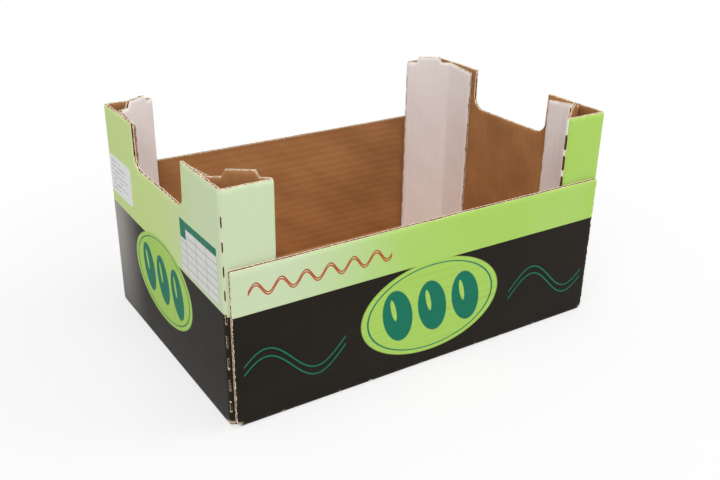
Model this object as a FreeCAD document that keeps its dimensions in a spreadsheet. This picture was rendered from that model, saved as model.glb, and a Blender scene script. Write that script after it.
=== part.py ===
import FreeCAD, Part
import math
import os
import Sketcher

# A cardboard tray box with open corner posts, folded from one blank of corrugated board.
# The origin is at the centre of the underside. X runs along the length, Y across
# the width and Z up. Sizes are in millimetres.

SIZES = {
    "board": 4.0,
    "overall_length": 400.0,
    "overall_width": 270.0,
    "side_top": 144.0,
    "side_inset": 4.0,
    "side_snip": 5.0,
    "post_top": 210.0,
    "post_leg": 47.0,
    "post_depth": 30.0,
    "dip_width": 114.0,
    "dip_bottom": 168.0,
    "dip_round": 14.0,
    "tab_gap": 5.0,
    "tab_drop": 4.0,
    "tongue_start": 10.0,
    "tongue_width": 28.0,
    "tongue_rise": 6.0,
    "tongue_slant": 3.0,
    "slit_first": 15.0,
    "slit_pitch": 20.5,
    "slit_count": 9.0,
    "slit_reach": 0.7,
    "corner_slit_height": 10.5,
    "corner_slit_width": 1.4,
    "flap_slit_height": 15.0,
    "flap_slit_width": 3.0,
    "label_width": 57.0,
    "label_height": 38.5,
    "label_inset": 4.5,
    "label_bottom": 124.5,
    "label_paper": 0.2,
}

CORNERS = {
    "front_left": (-1, -1),
    "front_right": (1, -1),
    "back_left": (-1, 1),
    "back_right": (1, 1),
}

# Places worked out from the sizes, for the corner where X and Y are both positive.
# A vertical fold turns about its hinge, the inside edge where the two panels meet.
END_FACE = "(sizes.overall_length / 2)"
END_INSIDE = f"({END_FACE} - sizes.board)"
TAB_INSIDE = f"({END_INSIDE} - sizes.board)"
SIDE_FACE = "(sizes.overall_width / 2)"
FLAP_FACE = f"({SIDE_FACE} - sizes.board)"
FLAP_INSIDE = f"({FLAP_FACE} - sizes.board)"
SIDE_END = f"({END_FACE} - sizes.side_inset)"
HINGE_X = f"({END_FACE} - sizes.post_leg + sizes.board)"
CREASE_Y = f"({FLAP_FACE} - sizes.post_depth)"
TAB_END = "(sizes.dip_width / 2 + sizes.tab_gap)"

# The post's slanting panel: its fall in Y for each millimetre of X, its length for the
# same, and the offset in X and Y from its hollow side to the side that faces the tray.
SLOPE = f"(({FLAP_INSIDE} - {CREASE_Y}) / ({END_INSIDE} - {HINGE_X}))"
STRETCH = f"sqrt(1 + {SLOPE} * {SLOPE})"
LEAN_X = f"(sizes.board * {SLOPE} / {STRETCH})"
LEAN_Y = f"(sizes.board / {STRETCH})"
TAB_CREASE_Y = f"({FLAP_INSIDE} - sizes.board * {STRETCH} - {SLOPE} * ({TAB_INSIDE} - {HINGE_X}))"

# Directions that halve the outside of the two slit folds, in degrees from X towards Y
CORNER_BISECTOR = 45
FLAP_BISECTOR = 163


def make_sheet(doc):
    sheet = doc.addObject("Spreadsheet::Sheet", "sizes")
    for row, (name, size) in enumerate(SIZES.items(), 1):
        sheet.set(f"A{row}", name)
        sheet.set(f"B{row}", str(size))
        sheet.setAlias(f"B{row}", name)
    doc.recompute()
    return sheet


def signed(sign, text):
    return f"{sign} * {text}"


def origin_feature(body, role):
    return next(f for f in body.Origin.OriginFeatures if f.Role == role)


def worked_out(sketch, text):
    result = sketch.evalExpression(text)
    return float(getattr(result, "Value", result))


def pin_down(sketch, kind, where, text):
    """Constrain one coordinate or radius, and bind it to its text."""
    number = sketch.addConstraint(Sketcher.Constraint(kind, *where, worked_out(sketch, text)))
    sketch.setExpression(f"Constraints[{number}]", text)


def draw_loop(sketch, corners):
    """Closed outline. A corner is (x, y), or (x, y, centre x, centre y, radius) where
    the stretch that leaves it is an arc."""
    places = []
    for corner in corners:
        places.append(FreeCAD.Vector(*[worked_out(sketch, text) for text in corner[:2]], 0))
    ends = []
    for number, corner in enumerate(corners):
        start = places[number]
        finish = places[(number + 1) % len(corners)]
        if len(corner) == 2:
            edge = sketch.addGeometry(Part.LineSegment(start, finish), False)
            ends.append((edge, 1, 2))
            continue
        centre = FreeCAD.Vector(*[worked_out(sketch, text) for text in corner[2:4]], 0)
        leftward = (start - centre).cross(finish - centre).z > 0
        if leftward:
            rims = (start - centre, finish - centre)
        else:
            rims = (finish - centre, start - centre)
        circle = Part.Circle(centre, FreeCAD.Vector(0, 0, 1), rims[0].Length)
        angles = [math.atan2(rim.y, rim.x) for rim in rims]
        edge = sketch.addGeometry(Part.ArcOfCircle(circle, *angles), False)
        ends.append((edge, 1, 2) if leftward else (edge, 2, 1))
    for number, corner in enumerate(corners):
        edge, begin, end = ends[number]
        following, next_begin, _ = ends[(number + 1) % len(corners)]
        sketch.addConstraint(Sketcher.Constraint("Coincident", edge, end, following, next_begin))
        pin_down(sketch, "DistanceX", (edge, begin), corner[0])
        pin_down(sketch, "DistanceY", (edge, begin), corner[1])
        if len(corner) > 2:
            pin_down(sketch, "Radius", (edge,), corner[4])


def outline(body, name, plane, loops, height=None):
    """Sketch of closed outlines on one of the body's origin planes, or above it."""
    sketch = body.newObject("Sketcher::SketchObject", name)
    sketch.AttachmentSupport = [(origin_feature(body, plane), "")]
    sketch.MapMode = "FlatFace"
    if height:
        sketch.setExpression("AttachmentOffset.Base.z", height)
    for corners in loops:
        draw_loop(sketch, corners)
    body.Document.recompute()
    return sketch


def sweep(body, kind, name, sketch, length, symmetric=False, backwards=False):
    feature = body.newObject(f"PartDesign::{kind}", name)
    feature.Profile = sketch
    feature.Refine = True
    feature.Reversed = backwards
    if symmetric:
        feature.SideType = "Symmetric"
    feature.setExpression("Length", length)
    body.Document.recompute()
    return feature


def wrap_outline(face, inside, top):
    """Section of the floor panel with a wall folded up at each of its two edges."""
    right = [
        (inside, "sizes.board"),
        (inside, top),
        (face, top),
        (face, "sizes.board", inside, "sizes.board", "sizes.board"),
        (inside, "0 * sizes.board"),
    ]
    left = [
        (signed(-1, inside), "0 * sizes.board", signed(-1, inside), "sizes.board", "sizes.board"),
        (signed(-1, face), "sizes.board"),
        (signed(-1, face), top),
        (signed(-1, inside), top),
        (signed(-1, inside), "sizes.board"),
    ]
    return right + left


def make_walls(body):
    """Floor with the two long sides, then the two ends, each wrapped up from the floor."""
    side_wrap = wrap_outline(SIDE_FACE, FLAP_FACE, "sizes.side_top")
    sides = outline(body, "sides_section", "YZ_Plane", [side_wrap])
    sweep(body, "Pad", "floor_and_sides", sides, f"2 * {SIDE_END}", symmetric=True)
    end_wrap = wrap_outline(END_FACE, END_INSIDE, "sizes.post_top")
    ends = outline(body, "ends_section", "XZ_Plane", [end_wrap])
    sweep(body, "Pad", "floor_and_ends", ends, f"2 * {FLAP_INSIDE}", symmetric=True)


def cut_hand_dips(body):
    """The low middle of both ends, with round bottom corners."""
    half = "(sizes.dip_width / 2)"
    shoulder = f"({half} - sizes.dip_round)"
    bend = "(sizes.dip_bottom + sizes.dip_round)"
    over = "(sizes.post_top + sizes.board)"
    dip = [
        (half, over),
        (signed(-1, half), over),
        (signed(-1, half), bend, signed(-1, shoulder), bend, "sizes.dip_round"),
        (signed(-1, shoulder), "sizes.dip_bottom"),
        (shoulder, "sizes.dip_bottom", shoulder, bend, "sizes.dip_round"),
        (half, bend),
    ]
    sketch = outline(body, "dip_outline", "YZ_Plane", [dip])
    sweep(body, "Pocket", "hand_dips", sketch, "2 * sizes.overall_length", symmetric=True)


def add_corner_strip(body, place, x, y):
    """The flap on the long side and the slanting panel that closes the hollow post.
    It is one strip, folded from the end wall, and its fold edges are round outside."""
    strip = [
        (signed(x, END_INSIDE), signed(y, CREASE_Y)),
        (signed(x, HINGE_X), signed(y, FLAP_INSIDE)),
        (signed(x, END_INSIDE), signed(y, FLAP_INSIDE)),
        (
            signed(x, END_FACE), signed(y, FLAP_INSIDE),
            signed(x, END_INSIDE), signed(y, FLAP_INSIDE), "sizes.board",
        ),
        (signed(x, END_INSIDE), signed(y, FLAP_FACE)),
        (
            signed(x, HINGE_X), signed(y, FLAP_FACE),
            signed(x, HINGE_X), signed(y, FLAP_INSIDE), "sizes.board",
        ),
        (signed(x, f"({HINGE_X} - {LEAN_X})"), signed(y, f"({FLAP_INSIDE} - {LEAN_Y})")),
        (signed(x, TAB_INSIDE), signed(y, TAB_CREASE_Y)),
    ]
    sketch = outline(body, f"strip_section_{place}", "XY_Plane", [strip], "sizes.board")
    sweep(body, "Pad", f"corner_strip_{place}", sketch, "sizes.post_top - sizes.board")


def add_glue_tab(body, place, x, y):
    """The strip's last panel, glued flat on the end wall, its top edge falling away."""
    tab = [
        (signed(y, CREASE_Y), "sizes.board"),
        (signed(y, CREASE_Y), "sizes.post_top"),
        (signed(y, TAB_END), "sizes.post_top - sizes.tab_drop"),
        (signed(y, TAB_END), "sizes.board"),
    ]
    sketch = outline(body, f"tab_outline_{place}", "YZ_Plane", [tab], signed(x, END_INSIDE))
    sweep(body, "Pad", f"glue_tab_{place}", sketch, "sizes.board", backwards=x > 0)


def tongue_section(x, y, shorter):
    """The slanting panel's section, cut off at both ends by so much."""
    sides = ((TAB_INSIDE, TAB_CREASE_Y), (f"({TAB_INSIDE} + {LEAN_X})", f"({TAB_CREASE_Y} + {LEAN_Y})"))
    corners = []
    for number, (side_x, side_y) in enumerate(sides):
        ends = [f"(sizes.tongue_start + {shorter})"]
        ends.append(f"(sizes.tongue_start + sizes.tongue_width - {shorter})")
        if number:
            ends.reverse()
        for end in ends:
            corner = (f"({side_x} - {end} / {STRETCH})", f"({side_y} + {end} * {SLOPE} / {STRETCH})")
            corners.append((signed(x, corner[0]), signed(y, corner[1])))
    return corners


def add_tongue(body, place, x, y):
    """The raised tongue on the slanting panel, which locates the tray stacked above."""
    foot_loop = tongue_section(x, y, "0 * sizes.board")
    foot = outline(body, f"tongue_foot_{place}", "XY_Plane", [foot_loop], "sizes.post_top")
    tip_loop = tongue_section(x, y, "sizes.tongue_slant")
    tip_height = "sizes.post_top + sizes.tongue_rise"
    tip = outline(body, f"tongue_tip_{place}", "XY_Plane", [tip_loop], tip_height)
    tongue = body.newObject("PartDesign::AdditiveLoft", f"tongue_{place}")
    tongue.Profile = foot
    tongue.Sections = [tip]
    tongue.Ruled = True
    tongue.Refine = True
    body.Document.recompute()


def snip_side_corners(body):
    """A small slanting snip at each lower corner of the long sides."""
    for place, (x, y) in CORNERS.items():
        snip = [
            (signed(x, SIDE_END), "0 * sizes.board"),
            (signed(x, SIDE_END), "sizes.side_snip"),
            (signed(x, f"({SIDE_END} - sizes.side_snip)"), "0 * sizes.board"),
        ]
        sketch = outline(body, f"snip_outline_{place}", "XZ_Plane", [snip], signed(-y, FLAP_FACE))
        sweep(body, "Pocket", f"side_snip_{place}", sketch, "sizes.board", backwards=y < 0)


def slit_section(x, y, hinge, across, width):
    """Slit through a fold, square to it: from just inside its hinge out past the face."""
    along = (-across[1], across[0])
    steps = (("-sizes.slit_reach", -1), ("-sizes.slit_reach", 1))
    steps += (("(sizes.board + sizes.slit_reach)", 1), ("(sizes.board + sizes.slit_reach)", -1))
    corners = []
    for out, side in steps:
        half = f"{side} * {width} / 2"
        corner = [f"({hinge[k]} + {out} * ({across[k]}) + {half} * ({along[k]}))" for k in (0, 1)]
        corners.append((signed(x, corner[0]), signed(y, corner[1])))
    return corners


def cut_slits(body, fold, hinge, bisector):
    """A row of slits down one vertical fold of every post. The bisector is the
    direction, in degrees from X, that halves the fold's outside."""
    across = (math.cos(math.radians(bisector)), math.sin(math.radians(bisector)))
    loops = []
    for x, y in CORNERS.values():
        loops.append(slit_section(x, y, hinge, across, f"sizes.{fold}_slit_width"))
    sketch = outline(body, f"{fold}_slit_section", "XY_Plane", loops, "sizes.slit_first")
    height = f"sizes.{fold}_slit_height"
    slit = sweep(body, "Pocket", f"lowest_{fold}_slits", sketch, height, backwards=True)
    rows = body.newObject("PartDesign::LinearPattern", f"{fold}_slit_rows")
    rows.Originals = [slit]
    rows.Direction = (origin_feature(body, "Z_Axis"), [""])
    rows.Mode = "Spacing"
    rows.setExpression("Offset", "sizes.slit_pitch")
    rows.setExpression("Occurrences", "sizes.slit_count")
    body.Tip = rows
    body.Document.recompute()


def make_tray(doc):
    body = doc.addObject("PartDesign::Body", "tray")
    body.Label = "tray"
    make_walls(body)
    cut_hand_dips(body)
    for place, (x, y) in CORNERS.items():
        add_corner_strip(body, place, x, y)
        add_glue_tab(body, place, x, y)
    snip_side_corners(body)
    for place, (x, y) in CORNERS.items():
        add_tongue(body, place, x, y)
    cut_slits(body, "corner", (END_INSIDE, FLAP_INSIDE), CORNER_BISECTOR)
    cut_slits(body, "flap", (HINGE_X, FLAP_INSIDE), FLAP_BISECTOR)
    return body


def make_label(doc):
    """The paper label stuck on the left end, near its back corner."""
    label = doc.addObject("Part::Box", "paper_label")
    label.Label = "paper_label"
    label.setExpression("Length", "sizes.label_paper")
    label.setExpression("Width", "sizes.label_width")
    label.setExpression("Height", "sizes.label_height")
    label.setExpression("Placement.Base.x", f"-{END_FACE} - sizes.label_paper")
    label.setExpression("Placement.Base.y", f"{FLAP_FACE} - sizes.label_inset - sizes.label_width")
    label.setExpression("Placement.Base.z", "sizes.label_bottom")
    return label


def check_and_write(doc, pieces):
    doc.recompute()
    for item in doc.Objects:
        faults = {"Invalid", "Error"} & set(item.State)
        if faults:
            raise RuntimeError(f"{item.Name} failed: {faults}")
    for piece in pieces:
        if piece.Shape.isNull() or not piece.Shape.isValid():
            raise RuntimeError(f"{piece.Label} has no valid shape")
    os.makedirs("parts", exist_ok=True)
    for piece in pieces:
        piece.Shape.exportStep(f"parts/{piece.Label}.step")
        print(piece.Label, len(piece.Shape.Solids), "solid", round(piece.Shape.Volume), "cubic mm")


document = FreeCAD.newDocument("tray_box")
make_sheet(document)
check_and_write(document, [make_tray(document), make_label(document)])
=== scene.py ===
import math
import bpy
from mathutils import Matrix, Vector, noise


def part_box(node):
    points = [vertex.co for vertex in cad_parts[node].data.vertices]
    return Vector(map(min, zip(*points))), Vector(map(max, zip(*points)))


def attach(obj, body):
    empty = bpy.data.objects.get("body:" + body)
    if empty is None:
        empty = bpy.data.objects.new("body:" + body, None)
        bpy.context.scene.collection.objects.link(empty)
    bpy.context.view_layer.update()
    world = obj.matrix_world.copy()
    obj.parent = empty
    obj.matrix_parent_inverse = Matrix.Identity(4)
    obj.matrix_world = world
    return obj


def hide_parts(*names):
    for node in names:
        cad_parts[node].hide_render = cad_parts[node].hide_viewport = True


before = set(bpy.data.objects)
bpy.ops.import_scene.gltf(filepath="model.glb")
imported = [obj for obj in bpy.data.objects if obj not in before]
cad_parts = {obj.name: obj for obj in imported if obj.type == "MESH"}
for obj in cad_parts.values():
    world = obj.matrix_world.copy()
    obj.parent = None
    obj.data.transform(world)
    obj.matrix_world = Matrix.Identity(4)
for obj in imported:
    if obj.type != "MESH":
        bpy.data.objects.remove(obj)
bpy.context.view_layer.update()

# The tray's sizes in metres, as in its construction. The outer ones come from the frame.
_, tray_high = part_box("tray")
BOARD = 0.004
LINER = 0.00055
FLUTE_PAPER = 0.0004
FLUTE_PITCH = 0.0078
END_FACE = tray_high.x
SIDE_FACE = tray_high.y
TONGUE_RISE = 0.006
POST_TOP = tray_high.z - TONGUE_RISE
SIDE_TOP = 0.144
SIDE_INSET = 0.004
SIDE_SNIP = 0.005
POST_LEG = 0.047
POST_DEPTH = 0.030
DIP_HALF = 0.057
DIP_BOTTOM = 0.168
DIP_ROUND = 0.014
TAB_GAP = 0.005
TAB_DROP = 0.004
TONGUE_START = 0.010
TONGUE_WIDTH = 0.028
TONGUE_SLANT = 0.003
SLIT_FIRST = 0.015
SLIT_PITCH = 0.0205
SLIT_COUNT = 9
SLIT_TAPER = 0.0012
SLIT_TORN = 0.0018
CORNER_SLIT_HEIGHT = 0.0105
FLAP_SLIT_HEIGHT = 0.015

END_INSIDE = END_FACE - BOARD
TAB_INSIDE = END_INSIDE - BOARD
FLAP_FACE = SIDE_FACE - BOARD
FLAP_INSIDE = FLAP_FACE - BOARD
SIDE_END = END_FACE - SIDE_INSET
HINGE_X = END_FACE - POST_LEG + BOARD
CREASE_Y = FLAP_FACE - POST_DEPTH
SLANT = math.atan2(FLAP_INSIDE - CREASE_Y, END_INSIDE - HINGE_X)
TAB_CREASE_Y = FLAP_INSIDE - BOARD / math.cos(SLANT) - math.tan(SLANT) * (TAB_INSIDE - HINGE_X)
TAB_END = DIP_HALF + TAB_GAP

CREASE_RADIUS = 0.0003
FLUTE_STEP = FLUTE_PITCH / 8
LINER_STEP = 0.0024
EDGE_WOBBLE = 0.00022
FRAY_REACH = 0.0018
PINCH = 0.24
PINCH_REACH = 0.0018
PINCH_STEPS = (0.0004, 0.0009, 0.0016, 0.0026, 0.004)
WELD_DISTANCE = 0.000002
SHARP_ANGLE = math.radians(32)
# How far the walls bow in. Inside them the bow fades to nothing, and it ends short of the posts.
PANEL_BOW = 0.0009
BOW_FADE = 0.006
BOW_DEPTH = 0.009
BOW_STOP = 0.006
BOW_END = HINGE_X - BOW_STOP

CAMERA_PLACE = (-0.4373, -0.6837, 0.4457)
CAMERA_TURN = math.radians(33.125)
CAMERA_DIP = math.radians(24.732)
CAMERA_ROLL = math.radians(0.925)
CAMERA_FOCUS_PIXELS = 880.1
PICTURE_WIDTH = 720
SENSOR = 36.0
WORLD_LIGHT = 0.39


# Colours, written as they look on screen

def paint(red, green, blue):
    """Screen colour, 0 to 255, as the linear colour that a shader takes."""
    linear = []
    for part in (red, green, blue):
        share = part / 255
        linear.append(share / 12.92 if share <= 0.04045 else ((share + 0.055) / 1.055) ** 2.4)
    return (*linear, 1.0)


PALE_GREEN = paint(203, 218, 182)
LIME = paint(170, 208, 98)
END_GREEN = paint(200, 220, 142)
BLACK_INK = paint(33, 28, 23)
BLACK_SHEEN = paint(46, 40, 33)
# Painted sheen: the pale grey that reflected light gives the end's black ink towards its far corner.
PAINTED_SHEEN_GREY = paint(186, 180, 175)
RED_INK = paint(176, 58, 34)
SPECKLE = paint(214, 206, 190)
TEAL = paint(26, 116, 92)
WHITE_LINER = paint(243, 236, 234)
WHITE_SHADE = paint(218, 208, 204)
KRAFT = paint(180, 129, 80)
KRAFT_DARK = paint(144, 95, 54)
# The flute paper is brown paper painted much darker, so that it stands for the shade in the gaps
# between the liners.
FLUTE_SHADED_BROWN = paint(112, 74, 44)
FLUTE_DEEP_SHADE = paint(74, 45, 26)
CUT_EDGE = paint(238, 219, 192)
CUT_SHADE = paint(200, 164, 124)
FLOOR_PALE = paint(226, 226, 226)
FLOOR_SHADE = paint(218, 218, 218)
PAPER_WHITE = paint(232, 231, 232)
PAPER_GREY = paint(128, 128, 134)
TABLE_WHITE = paint(220, 220, 217)
TABLE_RULE = paint(100, 104, 100)


# Shader helpers: each takes numbers or sockets and returns a socket

class Finish:
    def __init__(self, name):
        self.material = bpy.data.materials.new(name)
        self.material.use_nodes = True
        self.tree = self.material.node_tree
        self.shader = self.tree.nodes["Principled BSDF"]

    def node(self, kind, inputs=(), **settings):
        node = self.tree.nodes.new(kind)
        for key, value in settings.items():
            setattr(node, key, value)
        for socket, value in inputs:
            self.put(node.inputs[socket], value)
        return node

    def put(self, socket, value):
        if isinstance(value, bpy.types.NodeSocket):
            self.tree.links.new(value, socket)
        else:
            socket.default_value = value

    def math(self, operation, first, second=0.0, third=0.0):
        inputs = ((0, first), (1, second), (2, third))
        return self.node("ShaderNodeMath", inputs, operation=operation).outputs[0]

    def blend(self, share, first, second):
        """From the first colour to the second one."""
        node = self.tree.nodes.new("ShaderNodeMix")
        node.data_type = "RGBA"
        colours = [socket for socket in node.inputs if socket.type == "RGBA"]
        self.put(node.inputs[0], share)
        self.put(colours[0], first)
        self.put(colours[1], second)
        return next(socket for socket in node.outputs if socket.type == "RGBA")

    def ramp(self, value, start, end, low=0.0, high=1.0):
        """Smooth change from low to high as the value goes from start to end."""
        ends = (("From Min", start), ("From Max", end), ("To Min", low), ("To Max", high))
        inputs = (("Value", value), *ends)
        return self.node("ShaderNodeMapRange", inputs, interpolation_type="SMOOTHSTEP").outputs[0]

    def noise(self, place, scale, detail=3.0, roughness=0.55):
        inputs = (("Vector", place), ("Scale", scale), ("Detail", detail), ("Roughness", roughness))
        return self.node("ShaderNodeTexNoise", inputs).outputs["Fac"]

    def stretched(self, place, scale):
        return self.node("ShaderNodeMapping", (("Vector", place), ("Scale", scale))).outputs[0]

    def map_place(self, name):
        return self.node("ShaderNodeUVMap", uv_map=name).outputs[0]

    def split(self, place):
        outputs = self.node("ShaderNodeSeparateXYZ", ((0, place),)).outputs
        return outputs[0], outputs[1]

    def object_place(self):
        return self.node("ShaderNodeTexCoord").outputs["Object"]

    def bump(self, height, distance, under=None):
        inputs = [("Height", height), ("Distance", distance), ("Strength", 1.0)]
        if under is not None:
            inputs.append(("Normal", under))
        return self.node("ShaderNodeBump", inputs).outputs[0]

    def finish(self, colour, roughness, normal, specular=0.5):
        self.put(self.shader.inputs["Base Color"], colour)
        self.put(self.shader.inputs["Roughness"], roughness)
        self.put(self.shader.inputs["Normal"], normal)
        self.shader.inputs["Specular IOR Level"].default_value = specular
        return self.material

    def oval(self, across, up, middle, half_sizes, lean=0.0, soft=0.012):
        """1 inside an oval, 0 outside it, and how far out a point is, 1 at its rim."""
        x = self.math("SUBTRACT", across, middle[0])
        y = self.math("SUBTRACT", up, middle[1])
        cosine, sine = math.cos(lean), math.sin(lean)
        along = self.math("ADD", self.math("MULTIPLY", x, cosine), self.math("MULTIPLY", y, sine))
        aside = self.math("SUBTRACT", self.math("MULTIPLY", y, cosine), self.math("MULTIPLY", x, sine))
        along = self.math("DIVIDE", along, half_sizes[0])
        aside = self.math("DIVIDE", aside, half_sizes[1])
        along, aside = self.math("MULTIPLY", along, along), self.math("MULTIPLY", aside, aside)
        reach = self.math("SQRT", self.math("ADD", along, aside))
        return self.ramp(reach, 1 + soft, 1 - soft), reach

    def band(self, value, middle, half, soft):
        """1 where the value is within half of the middle."""
        away = self.math("ABSOLUTE", self.math("SUBTRACT", value, middle))
        return self.ramp(away, half + soft, half - soft)

    def both(self, *masks):
        result = masks[0]
        for mask in masks[1:]:
            result = self.math("MULTIPLY", result, mask)
        return result

    def torn(self, colour, place):
        """Bare cream paper fibres round the slits and along the cut edges."""
        torn = self.node("ShaderNodeAttribute", attribute_name="torn").outputs["Fac"]
        ragged = self.noise(place, 340.0, 4.0, 0.7)
        near = self.math("ADD", torn, self.math("MULTIPLY", self.math("SUBTRACT", ragged, 0.5), 2.4))
        return self.blend(self.ramp(near, 0.84, 1.0), colour, CUT_EDGE)

    def nicked_fold(self, colour, across, up, half_length):
        """Small bare nicks along the bottom fold, and scuffed paper at its two corners."""
        low = self.ramp(up, 0.0042, 0.0022)
        from_end = self.math("SUBTRACT", half_length, self.math("ABSOLUTE", across))
        corner = self.both(self.ramp(from_end, 0.0065, 0.001), self.ramp(up, 0.0075, 0.003))
        inputs = ((0, across), (1, self.math("MULTIPLY", up, 2.0)))
        along = self.node("ShaderNodeCombineXYZ", inputs).outputs[0]
        spots = self.noise(along, 95.0, 3.0, 0.7)
        nicks = self.both(low, self.ramp(spots, 0.60, 0.64, 0.0, 0.85))
        scuffs = self.both(corner, self.ramp(spots, 0.40, 0.52))
        return self.blend(self.math("MAXIMUM", nicks, scuffs), colour, CUT_EDGE)

    def washboard(self, flute_run):
        """The faint ridges of the flutes that show through a liner."""
        turn = self.math("MULTIPLY", flute_run, 2 * math.pi / FLUTE_PITCH)
        return self.math("SINE", turn)


# Where green meets black on a panel: the height at its middle, and the slope along it
SIDE_FIELD = (0.104, 0.0)
END_FIELD = (0.110, -0.03)
INK_SOFT = 0.0002
INK_GLOSS = 0.07
RIDGE_BUMP = 0.000012
FIBRE_BUMP = 0.00002


def printed(name, artwork, full_green, pale_from, pale_to, field, half_length):
    """Ink on the smooth white liner: green above, black below, and the panel's artwork."""
    ink = Finish(name)
    place = ink.map_place("print")
    across, up = ink.split(place)
    run, _ = ink.split(ink.map_place("run"))
    fibres = ink.noise(place, 900.0, 4.0)
    clouds = ink.noise(place, 14.0, 2.0)
    green = ink.blend(ink.ramp(across, pale_from, pale_to), PALE_GREEN, full_green)
    green = ink.blend(ink.ramp(clouds, 0.35, 0.75, 0.0, 0.10), green, PALE_GREEN)
    black = ink.blend(ink.ramp(clouds, 0.3, 0.8, 0.0, 0.25), BLACK_INK, BLACK_SHEEN)
    middle_height, slope = field
    meeting = ink.math("ADD", middle_height, ink.math("MULTIPLY", across, slope))
    above = ink.math("SUBTRACT", up, meeting)
    in_black = ink.ramp(above, INK_SOFT, -INK_SOFT)
    colour = ink.blend(in_black, green, black)
    colour = artwork(ink, colour, across, up, in_black)
    speckle = ink.ramp(fibres, 0.62, 0.80, 0.0, 0.05)
    colour = ink.blend(speckle, colour, SPECKLE)
    ridges = ink.washboard(run)
    streaks = ink.noise(ink.stretched(ink.map_place("run"), (620.0, 4.0, 1.0)), 1.0, 2.0)
    faint = ink.both(ink.ramp(ridges, -1.0, 1.0, 0.4, 1.0), ink.ramp(streaks, 0.46, 0.72, 0.0, 0.22))
    colour = ink.blend(faint, colour, ink.blend(in_black, full_green, BLACK_SHEEN))
    colour = ink.nicked_fold(colour, across, up, half_length)
    colour = ink.torn(colour, place)
    roughness = ink.ramp(fibres, 0.2, 0.8, 0.46, 0.58)
    normal = ink.bump(ridges, RIDGE_BUMP)
    normal = ink.bump(fibres, FIBRE_BUMP, normal)
    return ink.finish(colour, roughness, normal, INK_GLOSS)


def wavy_lines(ink, across, up, span, base, swing, length, rows_apart, half_line):
    """Two thin wavy lines, one above the other, within a span along the panel."""
    turn = ink.math("MULTIPLY", across, 2 * math.pi / length)
    wave = ink.math("MULTIPLY", ink.math("SINE", turn), swing)
    slope = ink.math("MULTIPLY", ink.math("COSINE", turn), swing * 2 * math.pi / length)
    stretch = ink.math("SQRT", ink.math("ADD", ink.math("MULTIPLY", slope, slope), 1.0))
    height = ink.math("SUBTRACT", ink.math("SUBTRACT", up, wave), base)
    upper = ink.math("ABSOLUTE", ink.math("SUBTRACT", height, rows_apart))
    nearer = ink.math("MINIMUM", ink.math("ABSOLUTE", height), upper)
    away = ink.math("DIVIDE", nearer, stretch)
    line = ink.ramp(away, half_line + INK_SOFT, half_line - INK_SOFT)
    middle, half = (span[0] + span[1]) / 2, (span[1] - span[0]) / 2
    return ink.both(line, ink.band(across, middle, half, INK_SOFT))


def oval_badge(ink, colour, across, up, middle, half_sizes, motif_half, motif_gap):
    """A lime oval with a thin teal ring and a row of plain plump ovals."""
    lean = math.radians(14)
    ring_reach, ring_half, ring_soft = 0.91, 0.012, 0.006
    field, reach = ink.oval(across, up, middle, half_sizes)
    colour = ink.blend(field, colour, LIME)
    ring = ink.band(reach, ring_reach, ring_half, ring_soft)
    colour = ink.blend(ring, colour, TEAL)
    for place in (-1, 0, 1):
        motif_middle = (middle[0] + place * motif_gap, middle[1])
        motif, _ = ink.oval(across, up, motif_middle, motif_half, lean, 0.025)
        colour = ink.blend(motif, colour, TEAL)
        shine_middle = (motif_middle[0] - motif_half[0] * 0.30, motif_middle[1] + motif_half[1] * 0.25)
        shine_half = (motif_half[0] * 0.16, motif_half[1] * 0.42)
        shine, _ = ink.oval(across, up, shine_middle, shine_half, lean, 0.08)
        colour = ink.blend(shine, colour, LIME)
    return colour


TEAL_WAVES = dict(base=0.045, swing=0.016, length=0.096, rows_apart=0.0075, half_line=0.00065)
RED_WAVES = dict(base=0.1225, swing=0.0052, length=0.0226, rows_apart=0.0022, half_line=0.0006)
SIDE_BADGE = dict(
    middle=(0.0, 0.060), half_sizes=(0.0765, 0.0455), motif_half=(0.0155, 0.0265), motif_gap=0.038
)
END_BADGE = dict(
    middle=(-0.005, 0.077), half_sizes=(0.067, 0.041), motif_half=(0.0135, 0.0235), motif_gap=0.0335
)


def side_artwork(ink, colour, across, up, in_black):
    """Two pairs of teal waves in the black, a red pair in the green, and the badge."""
    for span in ((-0.188, -0.092), (0.092, 0.188)):
        line = wavy_lines(ink, across, up, span, **TEAL_WAVES)
        colour = ink.blend(line, colour, TEAL)
    line = wavy_lines(ink, across, up, (-0.182, -0.046), **RED_WAVES)
    colour = ink.blend(line, colour, RED_INK)
    return oval_badge(ink, colour, across, up, **SIDE_BADGE)


def plain_table(ink, colour, across, up):
    """A blank table: a teal heading and first cell over thin ruled lines."""
    left, right, low, high = 0.047, 0.1205, 0.1105, 0.159
    first_column = 0.0125
    heading = 0.0065
    rule_half = 0.00022
    columns, rows = 3, 6
    middle = ((left + right) / 2, (low + high) / 2)
    half = ((right - left) / 2, (high - low) / 2)
    inside = ink.band(across, middle[0], half[0], INK_SOFT)
    inside = ink.both(inside, ink.band(up, middle[1], half[1], INK_SOFT))
    colour = ink.blend(inside, colour, TABLE_WHITE)
    head = ink.both(inside, ink.ramp(up, high - heading - INK_SOFT, high - heading + INK_SOFT))
    first_cell = 2.6 * heading
    cell_right, cell_low = left + first_column, high - first_cell
    beside = ink.ramp(across, cell_right + INK_SOFT, cell_right - INK_SOFT)
    corner = ink.both(inside, beside, ink.ramp(up, cell_low - INK_SOFT, cell_low + INK_SOFT))
    rules = 0.0
    row_height = (high - heading - low) / rows
    column_width = (right - left - first_column) / columns
    for row in range(rows + 1):
        rules = ink.math("MAXIMUM", rules, ink.band(up, low + row * row_height, rule_half, INK_SOFT))
    for column in range(columns + 1):
        place = left + first_column + column * column_width
        rules = ink.math("MAXIMUM", rules, ink.band(across, place, rule_half, INK_SOFT))
    colour = ink.blend(ink.both(inside, rules), colour, TABLE_RULE)
    colour = ink.blend(ink.math("MAXIMUM", head, corner), colour, TEAL)
    return colour


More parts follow.
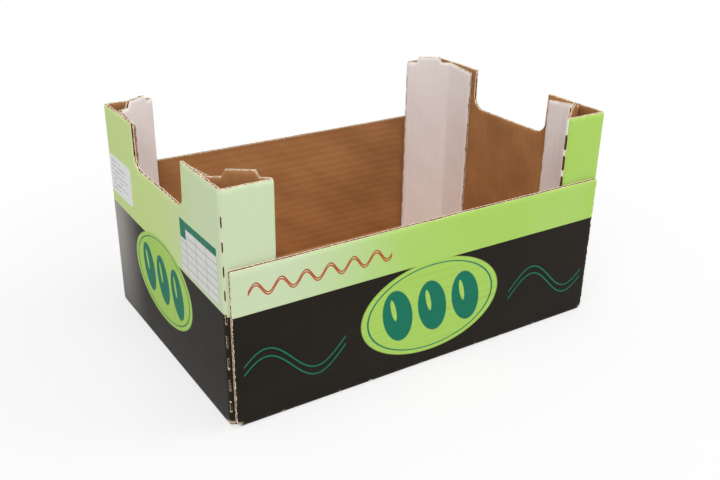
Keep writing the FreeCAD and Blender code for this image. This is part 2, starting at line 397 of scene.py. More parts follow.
def end_artwork(ink, colour, across, up, in_black):
    """Black ink painted pale grey towards one corner as a painted sheen of reflected light, the blank
    table and the badge.
    """
    # Painted sheen: the black turns pale grey towards the far corner and upwards, as reflected light
    # would.
    toward_corner = ink.ramp(across, -0.05, -0.135, 0.0, 0.8)
    rising = ink.ramp(up, -0.06, 0.10, 0.1, 1.0)
    painted_sheen = ink.both(in_black, toward_corner, rising)
    colour = ink.blend(painted_sheen, colour, PAINTED_SHEEN_GREY)
    colour = plain_table(ink, colour, across, up)
    return oval_badge(ink, colour, across, up, **END_BADGE)


def plain_paper(name, light, dark, grain, roughness, specular=0.3):
    """Unprinted paper: soft clouds, long fibres along the sheet, and fine specks."""
    sheet = Finish(name)
    place = sheet.map_place("run")
    run, _ = sheet.split(place)
    clouds = sheet.noise(place, 22.0, 3.0)
    fibres = sheet.noise(sheet.stretched(place, (2600.0, 420.0, 1.0)), 1.0, 4.0, 0.65)
    specks = sheet.noise(place, 1500.0, 2.0)
    colour = sheet.blend(sheet.ramp(clouds, 0.3, 0.72, 0.0, grain), light, dark)
    colour = sheet.blend(sheet.ramp(fibres, 0.45, 0.75, 0.0, grain), colour, dark)
    colour = sheet.blend(sheet.ramp(specks, 0.66, 0.78, 0.0, grain * 0.8), colour, KRAFT_DARK)
    ridges = sheet.washboard(run)
    colour = sheet.blend(sheet.ramp(ridges, -1.0, 1.0, grain * 0.18, 0.0), colour, dark)
    colour = sheet.torn(colour, place)
    normal = sheet.bump(ridges, 0.00005)
    normal = sheet.bump(fibres, 0.00003, normal)
    rough = sheet.ramp(fibres, 0.3, 0.8, roughness - 0.06, roughness + 0.06)
    return sheet.finish(colour, rough, normal, specular)


def label_paper():
    """White label paper with rows of faint broken bars."""
    sheet = Finish("label_paper")
    place = sheet.map_place("print")
    across, up = sheet.split(place)
    grain = sheet.noise(place, 1400.0, 3.0)
    colour = sheet.blend(sheet.ramp(grain, 0.4, 0.8, 0.0, 0.10), PAPER_WHITE, PAPER_GREY)
    bars = 0.0
    start = 0.10
    top_row, row_gap = 0.86, 0.12
    for row, end in enumerate((0.52, 0.78, 0.66, 0.84, 0.60, 0.80, 0.45)):
        height = top_row - row_gap * row
        along = sheet.band(across, (start + end) / 2, (end - start) / 2, 0.01)
        bars = sheet.math("MAXIMUM", bars, sheet.both(along, sheet.band(up, height, 0.018, 0.010)))
    gaps = sheet.noise(sheet.stretched(place, (30.0, 6.0, 1.0)), 1.0, 1.0)
    broken = sheet.ramp(gaps, 0.40, 0.54, 0.0, 0.75)
    colour = sheet.blend(sheet.both(bars, broken), colour, PAPER_GREY)
    return sheet.finish(colour, sheet.ramp(grain, 0.2, 0.8, 0.5, 0.62), sheet.bump(grain, 0.00002), 0.4)


SIDE_PRINT = printed("side_print", side_artwork, LIME, -0.17, 0.0, SIDE_FIELD, SIDE_END)
END_PRINT = printed("end_print", end_artwork, END_GREEN, 0.13, -0.02, END_FIELD, FLAP_INSIDE)
PLAIN_WHITE = plain_paper("white_liner", WHITE_LINER, WHITE_SHADE, 0.30, 0.5, 0.4)
PLAIN_KRAFT = plain_paper("kraft_liner", KRAFT, KRAFT_DARK, 0.6, 0.7)
# The flutes' paper: its dark browns are partly its own colour and partly painted shade of the gaps
# between the liners.
SHADED_FLUTE_SHEET = plain_paper("flute_paper_painted_shade", FLUTE_SHADED_BROWN, FLUTE_DEEP_SHADE, 0.7, 0.8)
RAW_EDGE = plain_paper("cut_board_edge", CUT_EDGE, CUT_SHADE, 0.7, 0.8)
LABEL = label_paper()


# The board's three papers, as trees of geometry nodes

class Tree:
    def __init__(self, name, sizes):
        self.group = bpy.data.node_groups.new(name, "GeometryNodeTree")
        self.sockets = {}
        self.add_socket("Geometry", "NodeSocketGeometry")
        for label, kind in sizes:
            self.add_socket(label, kind)
        interface = self.group.interface
        interface.new_socket(name="Geometry", in_out="OUTPUT", socket_type="NodeSocketGeometry")
        self.inputs = self.group.nodes.new("NodeGroupInput").outputs
        self.output = self.group.nodes.new("NodeGroupOutput").inputs[0]

    def add_socket(self, label, kind):
        socket = self.group.interface.new_socket(name=label, in_out="INPUT", socket_type=kind)
        self.sockets[label] = socket.identifier

    def node(self, kind, inputs=(), **settings):
        node = self.group.nodes.new(kind)
        for key, value in settings.items():
            setattr(node, key, value)
        for socket, value in inputs:
            target = node.inputs[socket]
            if isinstance(value, bpy.types.NodeSocket):
                self.group.links.new(value, target)
            else:
                target.default_value = value
        return node

    def math(self, operation, first, second=0.0):
        return self.node("ShaderNodeMath", ((0, first), (1, second)), operation=operation).outputs[0]

    def attribute(self, name, kind):
        node = self.node("GeometryNodeInputNamedAttribute", (("Name", name),), data_type=kind)
        return node.outputs["Attribute"]

    def end(self, geometry, selection, material):
        """Every tree ends in real geometry, with the paper's own colour on its cut edges."""
        whole = self.node("GeometryNodeRealizeInstances", ((0, geometry),))
        inputs = (("Geometry", whole.outputs[0]), ("Selection", selection), ("Material", material))
        coloured = self.node("GeometryNodeSetMaterial", inputs)
        self.group.links.new(coloured.outputs[0], self.output)

    def slits(self, geometry, fold, slit_height):
        """Opens a row of slits up the columns that a fold marks, each slit narrower at its ends."""
        sizes = self.inputs
        marked = self.attribute(fold, "FLOAT")
        place = self.node("GeometryNodeInputPosition").outputs[0]
        height = self.node("ShaderNodeSeparateXYZ", ((0, place),)).outputs[2]
        above = self.math("SUBTRACT", height, sizes["First slit"])
        row_length = self.math("MULTIPLY", sizes["Slit pitch"], sizes["Slits"])
        in_row = self.math("LESS_THAN", above, row_length)
        in_row = self.math("MULTIPLY", in_row, self.math("GREATER_THAN", above, 0.0))
        within = self.math("MODULO", above, sizes["Slit pitch"])
        taper = self.math("MULTIPLY", self.math("LESS_THAN", marked, 1.5), sizes["End taper"])
        past_start = self.math("GREATER_THAN", within, taper)
        before_end = self.math("LESS_THAN", within, self.math("SUBTRACT", slit_height, taper))
        open_here = self.math("MULTIPLY", in_row, self.math("MULTIPLY", past_start, before_end))
        open_here = self.math("MULTIPLY", open_here, self.math("GREATER_THAN", marked, 0.5))
        inputs = (("Geometry", geometry), ("Selection", open_here))
        return self.node("GeometryNodeDeleteGeometry", inputs, domain="FACE").outputs[0]

    def flutes(self, sheet):
        """Bends a flat middle sheet into flutes along its own run."""
        run = self.attribute("flute_run", "FLOAT")
        depth = self.attribute("depth", "FLOAT_VECTOR")
        room = self.attribute("room", "FLOAT")
        turn = self.math("DIVIDE", self.math("MULTIPLY", run, 2 * math.pi), self.inputs["Flute pitch"])
        rise = self.math("MULTIPLY", self.math("SINE", turn), room)
        shift = self.node("ShaderNodeVectorMath", ((0, depth), ("Scale", rise)), operation="SCALE")
        inputs = ((0, sheet), ("Offset", shift.outputs[0]))
        return self.node("GeometryNodeSetPosition", inputs).outputs[0]

    def thicken_and_end(self, sheet):
        """Gives a sheet its paper's thickness, with the paper's own back and cut edges."""
        depth = self.attribute("depth", "FLOAT_VECTOR")
        inputs = [("Mesh", sheet), ("Offset", depth), ("Offset Scale", self.inputs["Thickness"])]
        inputs.append(("Individual", False))
        grown = self.node("GeometryNodeExtrudeMesh", inputs, mode="FACES").outputs
        flipped = self.node("GeometryNodeFlipFaces", ((0, grown["Mesh"]),)).outputs[0]
        inputs = (("Geometry", flipped), ("Selection", grown["Top"]), ("Material", self.inputs["Back"]))
        backed = self.node("GeometryNodeSetMaterial", inputs).outputs[0]
        both = self.node("GeometryNodeJoinGeometry", ((0, sheet),))
        self.group.links.new(backed, both.inputs[0])
        inputs = ((0, both.outputs[0]), ("Distance", WELD_DISTANCE))
        closed = self.node("GeometryNodeMergeByDistance", inputs)
        self.end(closed.outputs[0], grown["Side"], self.inputs["Edge"])


PAPER_SIZES = (
    ("Thickness", "NodeSocketFloat"),
    ("Back", "NodeSocketMaterial"),
    ("Edge", "NodeSocketMaterial"),
)


def liner_tree():
    sizes = (
        ("First slit", "NodeSocketFloat"),
        ("Slit pitch", "NodeSocketFloat"),
        ("Slits", "NodeSocketInt"),
        ("Corner slit height", "NodeSocketFloat"),
        ("Flap slit height", "NodeSocketFloat"),
        ("End taper", "NodeSocketFloat"),
        *PAPER_SIZES,
    )
    tree = Tree("slit_liner", sizes)
    sheet = tree.slits(tree.inputs["Geometry"], "corner_fold", tree.inputs["Corner slit height"])
    sheet = tree.slits(sheet, "flap_fold", tree.inputs["Flap slit height"])
    tree.thicken_and_end(sheet)
    return tree


def flute_tree():
    tree = Tree("fluted_sheet", (("Flute pitch", "NodeSocketFloat"), *PAPER_SIZES))
    tree.thicken_and_end(tree.flutes(tree.inputs["Geometry"]))
    return tree


LINER_TREE = liner_tree()
FLUTE_TREE = flute_tree()


def run_tree(piece, tree, **sizes):
    modifier = piece.modifiers.new(tree.group.name, "NODES")
    modifier.node_group = tree.group
    for label, value in sizes.items():
        modifier[tree.sockets[label.replace("_", " ")]] = value


def made_plain(piece):
    """Turns a piece's trees into its own plain mesh."""
    evaluated = piece.evaluated_get(bpy.context.evaluated_depsgraph_get())
    mesh = bpy.data.meshes.new_from_object(evaluated)
    piece.modifiers.clear()
    piece.data = mesh
    mesh.shade_smooth()
    mesh.set_sharp_from_angle(angle=SHARP_ANGLE)


# Columns: lines of board along its flutes, each with an outer and an inner edge line

class Column:
    def __init__(self, run, outer, inner, finish, near, fold=0, mark=None):
        self.run = run
        self.outer = outer
        self.inner = inner
        self.finish = finish
        self.near = near
        self.fold = fold
        self.mark = mark


def stations(start, end, step, stops=()):
    """Distances from start to end about one step apart, with the given stops among them."""
    marks = [start, *sorted({stop for stop in stops if start < stop < end}), end]
    places = []
    for low, high in zip(marks, marks[1:]):
        count = max(1, round((high - low) / step))
        places += [low + (high - low) * number / count for number in range(count)]
    return places + [end]


def wobble(place, size):
    fineness, start = 140.0, Vector((7.3, 1.9, 4.4))
    return size * noise.noise(place * fineness + start)


def pinched(outer, inner, near, inner_held):
    """Knife-cut board: close to the cut its two liners lean together, unevenly."""
    mean, swing, least, most, fineness = 0.75, 0.9, 0.2, 1.3, 330.0
    uneven = min(max(mean + swing * noise.noise(outer * fineness), least), most)
    lean = (inner - outer) * PINCH * uneven * math.exp(-((near / PINCH_REACH) ** 2))
    return outer + lean, inner if inner_held else inner - lean


def bowed(place):
    """The long sides and the ends bow in a little between their corners."""
    x, y, z = place
    lift = min(max(z / SIDE_TOP, 0.0), 1.0) ** 1.5
    reach_y = min(max((abs(y) - FLAP_INSIDE + BOW_DEPTH) / BOW_FADE, 0.0), 1.0)
    reach_x = min(max((abs(x) - TAB_INSIDE + BOW_DEPTH) / BOW_FADE, 0.0), 1.0)
    side = PANEL_BOW * lift * reach_y * max(0.0, math.cos(math.pi * x / (2 * BOW_END)))
    end = PANEL_BOW * lift * reach_x * max(0.0, math.cos(math.pi * y / (2 * TAB_END)))
    if abs(x) > BOW_END:
        side = 0.0
    if abs(y) > TAB_END:
        end = 0.0
    return Vector((x - math.copysign(end, x), y - math.copysign(side, y), z))


def layer(name, columns, share, papers, depth_sign):
    """One sheet of the board, at a share of the way from its outer face to its inner one."""
    rows = len(columns[0].outer)
    places, depths, rooms, runs, torn = [], [], [], [], []
    for number, column in enumerate(columns):
        beside = [columns[k].fold for k in (number - 1, number) if k >= 0]
        for outer, inner, near in zip(column.outer, column.inner, column.near):
            torn.append(max(torn_here(column, beside, outer.z), 1.0 - near / FRAY_REACH))
            outer, inner = pinched(outer, inner, near, abs(outer.y) > FLAP_FACE + LINER)
            gap = inner - outer
            places.append(bowed(outer + gap * share))
            depths.append(gap.normalized() * depth_sign)
            rooms.append(max(0.0, gap.length / 2 - LINER - FLUTE_PAPER / 2))
            runs.append(column.run)
    faces, kinds, folds = [], [], {"corner": [], "flap": []}
    for number in range(len(columns) - 1):
        column = columns[number]
        for row in range(rows - 1):
            low = number * rows + row
            faces.append((low, low + 1, low + rows + 1, low + rows))
            kinds.append(column.finish)
            for fold in folds:
                folds[fold].append(column.fold if column.mark == fold else 0)
    corners = [places[number] for number in faces[len(faces) // 2]]
    normal = (corners[1] - corners[0]).cross(corners[3] - corners[0])
    if normal.dot(depths[faces[len(faces) // 2][0]]) > 0:
        faces = [tuple(reversed(face)) for face in faces]
    mesh = bpy.data.meshes.new(name)
    mesh.from_pydata(places, [], faces)
    for paper in papers:
        mesh.materials.append(paper)
    mesh.polygons.foreach_set("material_index", kinds if len(papers) > 1 else [0] * len(faces))
    depth = mesh.attributes.new("depth", "FLOAT_VECTOR", "POINT")
    depth.data.foreach_set("vector", [part for way in depths for part in way])
    for label, values in (("room", rooms), ("torn", torn), ("flute_run", runs)):
        mesh.attributes.new(label, "FLOAT", "POINT").data.foreach_set("value", values)
    for fold, marks in folds.items():
        mesh.attributes.new(f"{fold}_fold", "FLOAT", "FACE").data.foreach_set("value", marks)
    return mesh, kinds


SIDE, END, PLAIN = 0, 1, 2
FOLD_SLIT_HEIGHTS = {"corner": CORNER_SLIT_HEIGHT, "flap": FLAP_SLIT_HEIGHT}


def torn_here(column, beside, height):
    """How bare the rim of a slit is, fading to 0 a little way above and below it."""
    if column.mark is None or not any(beside):
        return 0.0
    within = (height - SLIT_FIRST) % SLIT_PITCH
    last = SLIT_FIRST + (SLIT_COUNT - 1) * SLIT_PITCH + FOLD_SLIT_HEIGHTS[column.mark]
    if not SLIT_FIRST - SLIT_TORN <= height <= last + SLIT_TORN:
        return 0.0
    past = min(within - FOLD_SLIT_HEIGHTS[column.mark], SLIT_PITCH - within)
    mean, swing, fineness = 0.96, 0.25, 90
    spot = Vector((column.run * fineness, 0.0, round(height / SLIT_PITCH)))
    bareness = mean + swing * noise.noise(spot)
    return bareness * max(0.0, 1.0 - max(0.0, past) / SLIT_TORN)


def add_maps(mesh, kinds, columns):
    """The print's map on each panel, and the map along the flutes' run."""
    rows = len(columns[0].outer)
    print_map = mesh.uv_layers.new(name="print")
    run_map = mesh.uv_layers.new(name="run")
    for face in mesh.polygons:
        middle = face.center
        for loop in face.loop_indices:
            vertex = mesh.loops[loop].vertex_index
            place = mesh.vertices[vertex].co
            if kinds[face.index] == SIDE:
                print_map.data[loop].uv = (-place.x if middle.y > 0 else place.x, place.z)
            else:
                print_map.data[loop].uv = (place.y if middle.x > 0 else -place.y, place.z)
            column, row = divmod(vertex, rows)
            along = columns[column].outer[row]
            run_map.data[loop].uv = (columns[column].run, along.x + along.z)


def arc_columns(hinge, turns, run, finish, marks, mark):
    """Columns round a fold: outer on the fold's round, inner close to its hinge."""
    columns = []
    for number, turn in enumerate(turns):
        way = Vector((math.cos(math.radians(turn)), math.sin(math.radians(turn))))
        level = marks[number] if number < len(marks) else 0
        length = run + BOARD * math.radians(turn - turns[0])
        outer, inner = hinge + way * BOARD, hinge + way * CREASE_RADIUS
        columns.append((length, outer, inner, None, finish, level, mark))
    return columns


def strip_levels(step):
    """Heights of the strip's rows below its top edge. Only the liners have slits."""
    levels = {BOARD, POST_TOP - TONGUE_RISE}
    for slit in range(SLIT_COUNT if step == LINER_STEP else 0):
        low = SLIT_FIRST + slit * SLIT_PITCH
        for height in (CORNER_SLIT_HEIGHT, FLAP_SLIT_HEIGHT):
            levels |= {low - SLIT_TORN, low, low + SLIT_TAPER}
            levels |= {low + height - SLIT_TAPER, low + height, low + height + SLIT_TORN}
    return sorted(levels)


def tongue_height(along):
    """How far the slanting panel's top stands above the post, this far from the tab's crease."""
    rise = min(along - TONGUE_START, TONGUE_START + TONGUE_WIDTH - along) / TONGUE_SLANT
    return TONGUE_RISE * min(max(rise, 0.0), 1.0)


def corner_strip(x, y, step):
    """Corner fold, flap, far fold, slanting panel and glue tab, as upright columns."""
    corner = Vector((END_INSIDE, FLAP_INSIDE))
    hinge = Vector((HINGE_X, FLAP_INSIDE))
    end_turns, side_turns = (0, 18, 35), (35, 41, 49, 55, 72, 90)
    plan = arc_columns(corner, end_turns, 0.0, END, (), "corner")
    run = plan.pop()[0]
    plan += arc_columns(corner, side_turns, run, SIDE, (1, 2, 1), "corner")
    run = plan[-1][0]
    for along in stations(0.0, END_INSIDE - HINGE_X, step)[1:]:
        outer = Vector((END_INSIDE - along, FLAP_FACE))
        inner = Vector((END_INSIDE - along, FLAP_INSIDE))
        plan.append((run + along, outer, inner, None, SIDE, 0, None))
    run = plan.pop()[0]
    last_turn = 270 - math.degrees(SLANT)
    middle = (90 + last_turn) / 2
    rim, slit = 22, 14
    early = (90, (90 + middle - rim) / 2, middle - rim, middle - slit)
    plan += arc_columns(hinge, early, run, SIDE, (0, 0, 1, 2), "flap")
    run = plan[-1][0]
    late = (middle - slit, middle, middle + slit)
    late += (middle + rim, (last_turn + middle + rim) / 2, last_turn)
    plan.pop()
    plan += arc_columns(hinge, late, run, PLAIN, (2, 2, 1), "flap")
    run = plan[-1][0]
    fold_end = plan.pop()[1]
    outer_crease = Vector((TAB_INSIDE, TAB_CREASE_Y))
    inner_crease = Vector((END_INSIDE, CREASE_Y))
    panel = (outer_crease - fold_end).length
    stops = [panel - stop for stop in (TONGUE_START, TONGUE_START + TONGUE_SLANT)]
    stops += [stop - TONGUE_WIDTH + TONGUE_SLANT for stop in stops]
    for along in stations(0.0, panel, step, stops):
        share = along / panel
        top = POST_TOP + tongue_height(panel - along)
        outer, inner = fold_end.lerp(outer_crease, share), hinge.lerp(inner_crease, share)
        plan.append((run + along, outer, inner, top, PLAIN, 0, None))
    run += panel
    tab = TAB_CREASE_Y - TAB_END
    for along in stations(0.0, tab, step, [tab - pinch for pinch in PINCH_STEPS])[1:]:
        share = along / tab
        outer = outer_crease.lerp(Vector((TAB_INSIDE, TAB_END)), share)
        inner = inner_crease.lerp(Vector((END_INSIDE, TAB_END)), share)
        plan.append((run + along, outer, inner, POST_TOP - TAB_DROP * share, PLAIN, 0, None))
    levels = strip_levels(step)
    columns = []
    for run, outer, inner, top, finish, level, mark in plan:
        edge = Vector((x * outer.x, y * outer.y, POST_TOP))
        top = (top or POST_TOP) - abs(wobble(edge, EDGE_WOBBLE))
        heights = levels + [top - pinch for pinch in reversed(PINCH_STEPS)] + [top]
        from_end = plan[-1][0] - run
        near = [min(top - height, from_end) for height in heights]
        lines = []
        for side in (outer, inner):
            lines.append([Vector((x * side.x, y * side.y, height)) for height in heights])
        columns.append(Column(run, *lines, finish, near, level, mark))
    return columns


def end_top(across):
    """The end's top edge, with the hand dip and its round corners."""
    across = abs(across)
    flat = DIP_HALF - DIP_ROUND
    if across >= DIP_HALF:
        return POST_TOP
    if across <= flat:
        return DIP_BOTTOM
    return DIP_BOTTOM + DIP_ROUND - math.sqrt(DIP_ROUND ** 2 - (across - flat) ** 2)


def floor_and_ends(step):
    """Lines from one end's top edge down, along the floor and up the other end."""
    cliff = 0.0001
    stops = [DIP_HALF - cliff, DIP_HALF, DIP_HALF - DIP_ROUND]
    stops += [DIP_HALF + pinch for pinch in PINCH_STEPS]
    stops += [DIP_HALF - DIP_ROUND * share for share in (0.03, 0.1, 0.25, 0.5, 0.75)]
    stops = sorted([-stop for stop in stops] + stops)
    turns = (0, 30, 60, 90)
    columns = []
    for y in stations(-FLAP_INSIDE, FLAP_INSIDE, step, stops):
        top = end_top(y) - abs(wobble(Vector((END_FACE, y, POST_TOP)), EDGE_WOBBLE))
        heights = [top, *[top - pinch for pinch in PINCH_STEPS]]
        heights += [top + (BOARD - top) * share for share in (0.1, 0.25, 0.5, 0.75)]
        beside = abs(y) - DIP_HALF if abs(y) >= DIP_HALF else 1.0
        near = [min(top - height, max(beside, DIP_BOTTOM - height)) for height in heights]
        outer = [Vector((END_FACE, y, height)) for height in heights]
        inner = [Vector((END_INSIDE, y, height)) for height in heights]
        for turn in turns:
            way = Vector((math.cos(math.radians(turn)), 0.0, -math.sin(math.radians(turn))))
            hinge = Vector((END_INSIDE, y, BOARD))
            outer.append(hinge + way * BOARD)
            inner.append(hinge + way * CREASE_RADIUS)
        for share in (0.25, 0.5, 0.75):
            outer.append(Vector((END_INSIDE * (1 - share), y, 0.0)))
            inner.append(Vector((END_INSIDE * (1 - share), y, BOARD)))
        for line in (outer, inner):
            line += [Vector((0.0, y, line[-1].z))] + [Vector((-p.x, p.y, p.z)) for p in reversed(line)]
        middle = [1.0] * (len(outer) - 2 * len(near))
        columns.append(Column(y, outer, inner, END, near + middle + near[::-1]))
    return columns


def long_side(y_sign, step):
    """Lines along the tray, from the floor's margin round its fold and up the long side."""
    hinge = Vector((FLAP_FACE, BOARD))
    plan = [(0.0, Vector((FLAP_INSIDE, 0.0)), Vector((FLAP_INSIDE, BOARD)))]
    run = FLAP_FACE - FLAP_INSIDE
    for turn in (-90, -60, -30, 0):
        way = Vector((math.cos(math.radians(turn)), math.sin(math.radians(turn))))
        length = run + BOARD * math.radians(turn + 90)
        plan.append((length, hinge + way * BOARD, hinge + way * CREASE_RADIUS))
    run = plan[-1][0]
    stops = [SIDE_SNIP, *[SIDE_TOP - pinch for pinch in PINCH_STEPS]]
    for height in stations(BOARD, SIDE_TOP, step, stops)[1:]:
        plan.append((run + height - BOARD, Vector((SIDE_FACE, height)), Vector((FLAP_FACE, height))))
    rows = 24
    from_ends = [0.0, *PINCH_STEPS]
    columns = []
    for run, outer, inner in plan:
        lines = []
        for side in (outer, inner):
            end = SIDE_END - (max(0.0, SIDE_SNIP - side.y) if side.x > FLAP_FACE else 0.0)
            end -= abs(wobble(Vector((SIDE_END, y_sign * side.x, side.y)), EDGE_WOBBLE))
            line = []
            inner_end = end - from_ends[-1]
            along = [from_end - end for from_end in from_ends]
            along += [inner_end * (2 * row / rows - 1) for row in range(1, rows)]
            along += [end - from_end for from_end in reversed(from_ends)]
            for x in along:
                place = Vector((x, y_sign * side.x, side.y))
                if side.y > SIDE_TOP - PINCH_STEPS[0] / 2:
                    place.z -= abs(wobble(place, EDGE_WOBBLE))
                line.append(place)
            lines.append(line)
        from_top = SIDE_TOP - outer.y
        near = [min(from_top, SIDE_END - abs(place.x)) for place in lines[0]]
        columns.append(Column(run, *lines, SIDE, near))
    return columns


def joined(name, meshes):
    """One object from several meshes of one layer."""
    pieces = []
    for number, mesh in enumerate(meshes):
        piece = bpy.data.objects.new(f"{name}_{number}", mesh)
        bpy.context.scene.collection.objects.link(piece)
        pieces.append(piece)
    bpy.ops.object.select_all(action="DESELECT")
    for piece in pieces:
        piece.select_set(True)
    bpy.context.view_layer.objects.active = pieces[0]
    bpy.ops.object.join()
    pieces[0].name = name
    pieces[0].select_set(False)
    return pieces[0]


def board_layer(name, boards, share, papers, depth_sign):
    meshes = []
    for number, columns in enumerate(boards):
        mesh, kinds = layer(f"{name}_{number}", columns, share, papers, depth_sign)
        add_maps(mesh, kinds, columns)
        for face in mesh.polygons:
            if len(papers) > 1 and abs(face.center.z) < BOARD / 4:
                face.material_index = PLAIN
        meshes.append(mesh)
    return joined(name, meshes)


def stand_for(piece, node):
    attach(piece, "root")
    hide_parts(node)


def panels(step):
    """Every panel of the blank, as columns about one step apart."""
    boards = [floor_and_ends(step), long_side(-1, step), long_side(1, step)]
    for x in (-1, 1):
        for y in (-1, 1):
            boards.append(corner_strip(x, y, step))
    return boards


def make_board():
    liners, fluted = panels(LINER_STEP), panels(FLUTE_STEP)
    outside = board_layer("outer_liner", liners, 0.0, [SIDE_PRINT, END_PRINT, PLAIN_WHITE], 1)
    inside = board_layer("inner_liner", liners, 1.0, [PLAIN_KRAFT], -1)
    middle = board_layer("flutes", fluted, 0.5, [SHADED_FLUTE_SHEET], 1)
    slits = dict(
        First_slit=SLIT_FIRST, Slit_pitch=SLIT_PITCH, Slits=SLIT_COUNT, End_taper=SLIT_TAPER,
        Corner_slit_height=CORNER_SLIT_HEIGHT, Flap_slit_height=FLAP_SLIT_HEIGHT,
    )
    for liner in (outside, inside):
        run_tree(liner, LINER_TREE, **slits, Thickness=LINER, Back=PLAIN_KRAFT, Edge=RAW_EDGE)
    paper = dict(Thickness=FLUTE_PAPER, Back=SHADED_FLUTE_SHEET, Edge=RAW_EDGE)
    run_tree(middle, FLUTE_TREE, Flute_pitch=FLUTE_PITCH, **paper)
    for piece in (outside, inside, middle):
        made_plain(piece)
        stand_for(piece, "tray")


def make_label():
    """The paper label, pressed on the left end, with its corners a little round."""
    low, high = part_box("paper_label")
    cells = 12
    corner_round = 0.0015
    places, faces, spots = [], [], []
    for row in range(cells + 1):
        for column in range(cells + 1):
            across, up = column / cells, row / cells
            y = high.y + (low.y - high.y) * across
            z = low.z + (high.z - low.z) * up
            from_corner = (0.5 - abs(across - 0.5)) * (high.y - low.y)
            from_corner += (0.5 - abs(up - 0.5)) * (high.z - low.z)
            z -= math.copysign(max(0.0, corner_round - from_corner), up - 0.5)
            places.append(bowed(Vector((high.x, y, z))))
            spots.append((across, up))
    for row in range(cells):
        for column in range(cells):
            first = row * (cells + 1) + column
            faces.append((first, first + 1, first + cells + 2, first + cells + 1))
    mesh = bpy.data.meshes.new("paper_label_sheet")
    mesh.from_pydata(places, [], faces)
    print_map = mesh.uv_layers.new(name="print")
    for loop in mesh.loops:
        print_map.data[loop.index].uv = spots[loop.vertex_index]
    mesh.materials.append(LABEL)
    piece = bpy.data.objects.new("paper_label_sheet", mesh)
    bpy.context.scene.collection.objects.link(piece)
    paper = piece.modifiers.new("paper", "SOLIDIFY")
    paper.thickness = (high.x - low.x) * 0.9
    paper.offset = 1.0
    made_plain(piece)
    stand_for(piece, "paper_label")


# The stage: floor, backdrop light, lamps and camera

def make_floor():
    half = 6.0
    mesh = bpy.data.meshes.new("floor")
    corners = [(-half, -half, 0.0), (half, -half, 0.0), (half, half, 0.0), (-half, half, 0.0)]
    mesh.from_pydata(corners, [], [(0, 1, 2, 3)])
    floor = bpy.data.objects.new("floor", mesh)
    bpy.context.scene.collection.objects.link(floor)
    pale = Finish("pale_floor")
    tree = pale.tree
    pale.shader.inputs["Roughness"].default_value = 0.9
    pale.shader.inputs["Specular IOR Level"].default_value = 0.1
    place = pale.object_place()
    grain = pale.noise(place, 40.0, 3.0)
    colour = pale.blend(pale.ramp(grain, 0.2, 0.8, 0.0, 0.04), FLOOR_PALE, FLOOR_SHADE)
    pale.put(pale.shader.inputs["Base Color"], colour)
    length = pale.node("ShaderNodeVectorMath", ((0, place),), operation="LENGTH").outputs["Value"]
    rays = pale.node("ShaderNodeLightPath").outputs
    seen = pale.math("MAXIMUM", rays["Is Camera Ray"], rays["Is Transmission Ray"])
    seen = pale.math("MAXIMUM", seen, rays["Is Glossy Ray"])
    glow_start, glow_end, least_glow = 0.20, 0.62, 0.68
    far = pale.math("MULTIPLY", pale.ramp(length, glow_start, glow_end, least_glow, 1.0), seen)
    glow = pale.node("ShaderNodeEmission", (("Color", (1.0, 1.0, 1.0, 1.0)), ("Strength", 1.0)))
    inputs = ((0, far), (1, pale.shader.outputs[0]), (2, glow.outputs[0]))
    mix = pale.node("ShaderNodeMixShader", inputs)
    tree.links.new(mix.outputs[0], tree.nodes["Material Output"].inputs["Surface"])
    mesh.materials.append(pale.material)


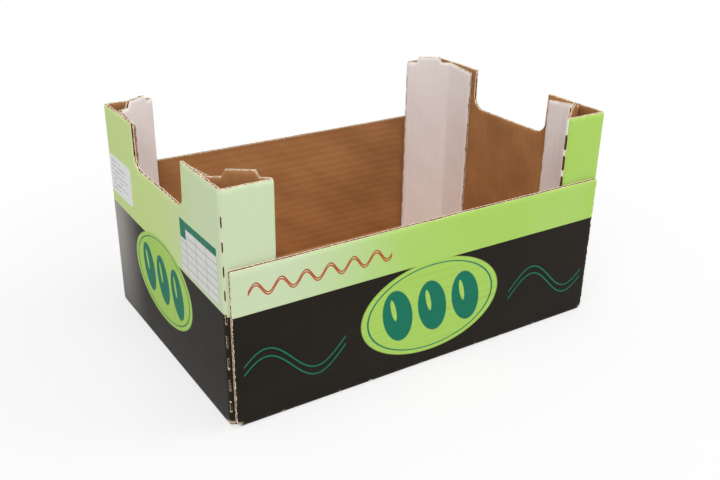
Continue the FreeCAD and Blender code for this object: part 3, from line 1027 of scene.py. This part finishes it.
def make_world():
    world = bpy.data.worlds.new("studio")
    world.use_nodes = True
    tree = world.node_tree
    soft = tree.nodes["Background"]
    soft.inputs["Color"].default_value = (1.0, 1.0, 1.0, 1.0)
    soft.inputs["Strength"].default_value = WORLD_LIGHT
    white = tree.nodes.new("ShaderNodeBackground")
    white.inputs["Color"].default_value = (1.0, 1.0, 1.0, 1.0)
    white.inputs["Strength"].default_value = 1.0
    rays = tree.nodes.new("ShaderNodeLightPath").outputs
    seen = rays["Is Camera Ray"]
    for kind in ("Is Glossy Ray", "Is Transmission Ray"):
        either = tree.nodes.new("ShaderNodeMath")
        either.operation = "MAXIMUM"
        tree.links.new(seen, either.inputs[0])
        tree.links.new(rays[kind], either.inputs[1])
        seen = either.outputs[0]
    mix = tree.nodes.new("ShaderNodeMixShader")
    tree.links.new(seen, mix.inputs[0])
    tree.links.new(soft.outputs[0], mix.inputs[1])
    tree.links.new(white.outputs[0], mix.inputs[2])
    tree.links.new(mix.outputs[0], tree.nodes["World Output"].inputs["Surface"])
    bpy.context.scene.world = world


def make_lamp(name, place, size, power):
    """A square soft lamp that faces the middle of the tray."""
    light = bpy.data.lights.new(name, "AREA")
    light.size = size
    light.energy = power
    lamp = bpy.data.objects.new(name, light)
    lamp.location = place
    tray_middle = Vector((0.0, 0.0, 0.08))
    aim = tray_middle - Vector(place)
    lamp.rotation_euler = aim.to_track_quat("-Z", "Y").to_euler()
    bpy.context.scene.collection.objects.link(lamp)


def make_camera():
    data = bpy.data.cameras.new("camera")
    data.sensor_width = SENSOR
    data.lens = CAMERA_FOCUS_PIXELS / PICTURE_WIDTH * SENSOR
    camera = bpy.data.objects.new("camera", data)
    ahead = Vector((
        math.sin(CAMERA_TURN) * math.cos(CAMERA_DIP),
        math.cos(CAMERA_TURN) * math.cos(CAMERA_DIP),
        -math.sin(CAMERA_DIP),
    ))
    level = Vector((math.cos(CAMERA_TURN), -math.sin(CAMERA_TURN), 0.0))
    above = level.cross(ahead)
    right = level * math.cos(CAMERA_ROLL) + above * math.sin(CAMERA_ROLL)
    up = above * math.cos(CAMERA_ROLL) - level * math.sin(CAMERA_ROLL)
    turned = Matrix((right, up, -ahead)).transposed().to_4x4()
    camera.matrix_world = Matrix.Translation(CAMERA_PLACE) @ turned
    bpy.context.scene.collection.objects.link(camera)
    bpy.context.scene.camera = camera


bpy.context.scene.view_settings.view_transform = "Standard"
make_board()
make_label()
make_floor()
make_world()
make_lamp("key_lamp", (-1.42, -1.48, 2.0), 1.4, 34.5)
make_lamp("side_lamp", (1.6, -0.7, 1.3), 1.2, 18.0)
make_lamp("top_lamp", (-0.1, -0.2, 2.2), 1.2, 16.0)
make_camera()
